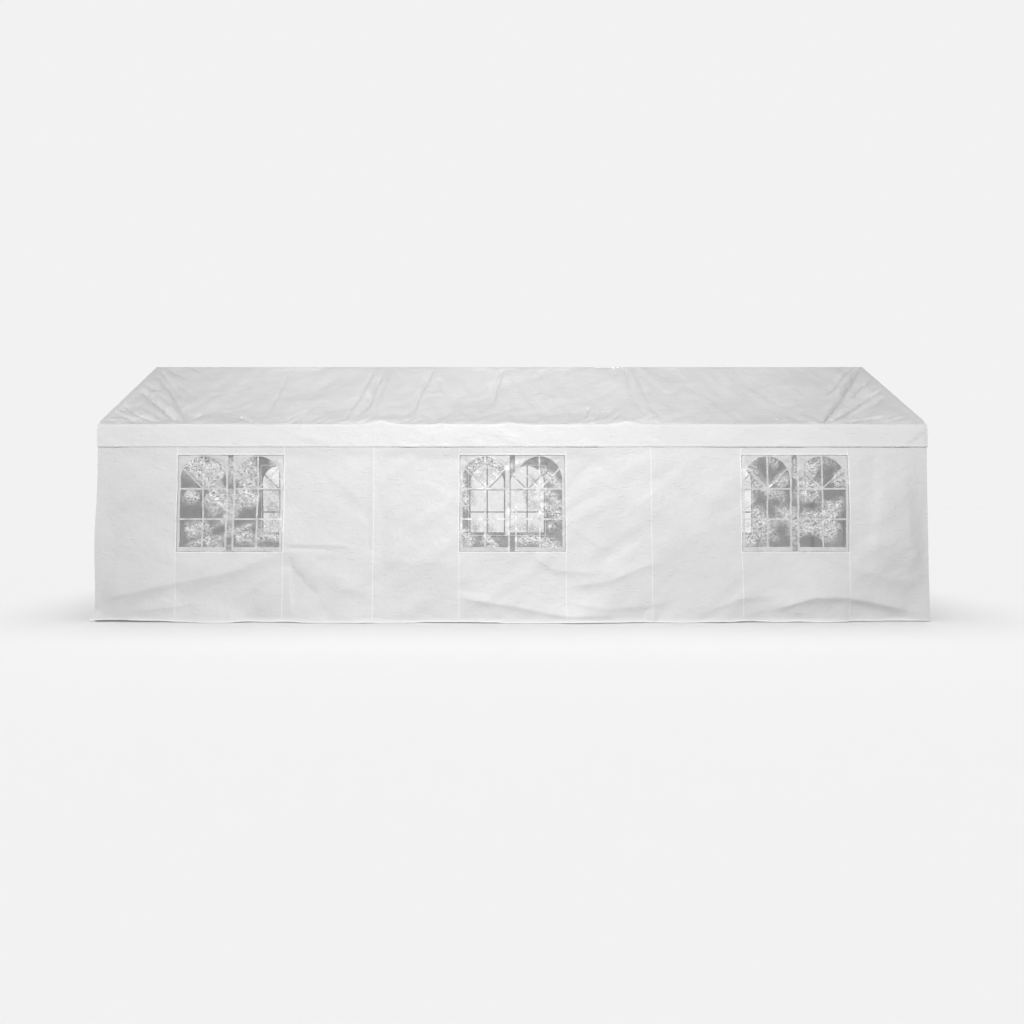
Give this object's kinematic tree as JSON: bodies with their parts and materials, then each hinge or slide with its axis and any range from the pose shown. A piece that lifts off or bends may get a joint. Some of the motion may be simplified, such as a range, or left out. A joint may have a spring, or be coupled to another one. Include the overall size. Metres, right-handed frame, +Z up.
{
  "type": "marquee tent",
  "caption": "White garden marquee with a pitched cover and valance, cloth walls with arched clear windows, zipped end doors and a frame of sleeved steel tubes.",
  "frame": {"origin": "on the ground under the middle of the tent", "axes": "+X along the tent's length from left to right as seen from the front, the front wall faces -Y, +Z up"},
  "size_m": [9.135, 3.2524, 2.996],
  "materials": {
    "frame_steel": "white powder coat, satin",
    "roof_sheeting": "woven coated sheeting, slight sheen",
    "wall_sheeting": "woven coated sheeting, slight sheen",
    "window_film": "clear film, glossy and crinkled"
  },
  "bodies": {
    "root": {"post_front_1": "frame_steel", "post_front_2": "frame_steel", "post_front_3": "frame_steel", "post_front_4": "frame_steel", "rafter_front_1": "frame_steel", "rafter_front_2": "frame_steel", "rafter_front_3": "frame_steel", "rafter_front_4": "frame_steel", "eave_tube_front_1": "frame_steel", "eave_tube_front_2": "frame_steel", "eave_tube_front_3": "frame_steel", "post_back_1": "frame_steel", "post_back_2": "frame_steel", "post_back_3": "frame_steel", "post_back_4": "frame_steel", "rafter_back_1": "frame_steel", "rafter_back_2": "frame_steel", "rafter_back_3": "frame_steel", "rafter_back_4": "frame_steel", "eave_tube_back_1": "frame_steel", "eave_tube_back_2": "frame_steel", "eave_tube_back_3": "frame_steel", "ridge_joint_1": "frame_steel", "ridge_joint_2": "frame_steel", "ridge_joint_3": "frame_steel", "ridge_joint_4": "frame_steel", "ridge_tube_1": "frame_steel", "ridge_tube_2": "frame_steel", "ridge_tube_3": "frame_steel", "end_tie_left": "frame_steel", "end_tie_right": "frame_steel", "roof_cover": "roof_sheeting", "front_wall": "wall_sheeting", "back_wall": "wall_sheeting", "left_end_wall": "wall_sheeting", "left_door_flap": "wall_sheeting", "right_end_wall": "wall_sheeting", "right_door_flap": "wall_sheeting", "front_window_1": "window_film", "front_window_2": "window_film", "front_window_3": "window_film", "back_window_1": "window_film", "back_window_2": "window_film", "back_window_3": "window_film"}
  },
  "joints": []
}
